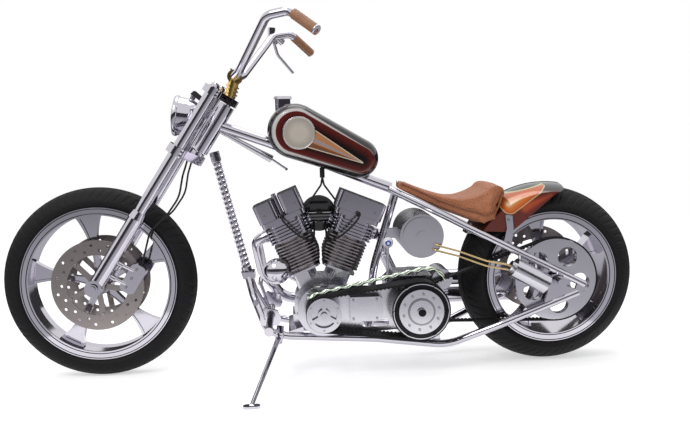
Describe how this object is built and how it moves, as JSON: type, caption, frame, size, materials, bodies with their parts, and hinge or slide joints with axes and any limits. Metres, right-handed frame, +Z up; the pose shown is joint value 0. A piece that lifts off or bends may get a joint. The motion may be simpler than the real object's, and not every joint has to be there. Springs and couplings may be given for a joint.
{
  "type": "chopper motorcycle",
  "caption": "Long raked chopper motorcycle, rigid rear end, V-twin engine with open belt drive, solo seat, leaning on its side stand.",
  "frame": {"origin": "on the floor, under the middle of the machine's outline as it parks", "axes": "+X runs back from the front wheel to the rear wheel, +Y to the rider's right, +Z up from the floor"},
  "size_m": [2.3399, 0.8955, 1.3188],
  "materials": {
    "belt": "black toothed belt",
    "brass_pipe": "polished brass",
    "chrome": "polished chrome",
    "dark_metal": "gloss black enamel",
    "disc_steel": "ground steel",
    "fender_paint": "candy copper lacquer over black",
    "fins": "bead blasted fins with polished edges",
    "gold": "polished gold plate",
    "green_chrome": "pale green tinted chrome",
    "grip_leather": "wrapped tan leather",
    "hose": "black braided hose",
    "lens": "clear fluted glass",
    "polished_alloy": "polished cast alloy",
    "seat_leather": "tooled tan leather",
    "tank_paint": "deep maroon lacquer with pearl and copper panels",
    "tyre": "matt tyre rubber"
  },
  "bodies": {
    "chassis": {"rear_axle": "chrome", "backbone": "chrome", "downtube": "chrome", "left_lower_rail": "chrome", "right_lower_rail": "chrome", "left_upper_stay": "chrome", "right_upper_stay": "chrome", "seat_post": "chrome", "damper_strut": "polished_alloy", "crankcase": "polished_alloy", "front_cylinder": "fins", "rear_cylinder": "fins", "front_head": "fins", "rear_head": "fins", "pushrod_tubes": "chrome", "carburettor": "dark_metal", "exhaust_pipes": "chrome", "gearbox": "polished_alloy", "drive_plate": "polished_alloy", "front_pulley": "polished_alloy", "clutch": "polished_alloy", "primary_belt": "belt", "final_belt": "belt", "belt_guard": "green_chrome", "shift_lever": "chrome", "horn": "chrome", "foot_controls": "chrome", "fuel_tank": "tank_paint", "filler_cap": "chrome", "petcock_lines": "hose", "rear_fender": "fender_paint", "fender_struts": "chrome", "seat": "seat_leather", "oil_tank": "polished_alloy", "oil_canister": "polished_alloy", "oil_lines": "brass_pipe", "rear_caliper": "chrome", "stand_bracket": "chrome"},
    "front_end": {"left_fork_leg": "chrome", "right_fork_leg": "chrome", "upper_yoke": "chrome", "lower_yoke": "chrome", "front_axle": "chrome", "headlight": "chrome", "headlight_lens": "lens", "risers": "gold", "handlebar": "chrome", "grips": "grip_leather", "brake_lever": "chrome", "front_calipers": "chrome", "brake_lines": "hose"},
    "front_wheel": {"front_rim": "chrome", "front_tyre": "tyre", "front_discs": "disc_steel"},
    "rear_wheel": {"rear_rim": "chrome", "rear_tyre": "tyre", "rear_pulley": "polished_alloy", "rear_disc": "disc_steel"},
    "side_stand": {"side_stand": "chrome"}
  },
  "joints": [
    {"name": "steering", "type": "hinge", "parent": "chassis", "child": "front_end", "pos_m": [-0.38843, 0.04143, 0.90219], "axis": [0.5446, -0.0585, 0.8366], "range_deg": [-30, 30]},
    {"name": "front_wheel_spin", "type": "hinge", "parent": "front_end", "child": "front_wheel", "pos_m": [-0.82, 0.08011, 0.34915], "axis": [0, 0.9976, 0.0698], "continuous": true},
    {"name": "rear_wheel_spin", "type": "hinge", "parent": "chassis", "child": "rear_wheel", "pos_m": [0.841, 0.08157, 0.3282], "axis": [0, 0.9976, 0.0698], "continuous": true},
    {"name": "side_stand_fold", "type": "hinge", "parent": "chassis", "child": "side_stand", "pos_m": [-0.17, -0.06005, 0.14588], "axis": [0.1422, -0.3895, 0.91], "range_deg": [0, 91.6]}
  ]
}
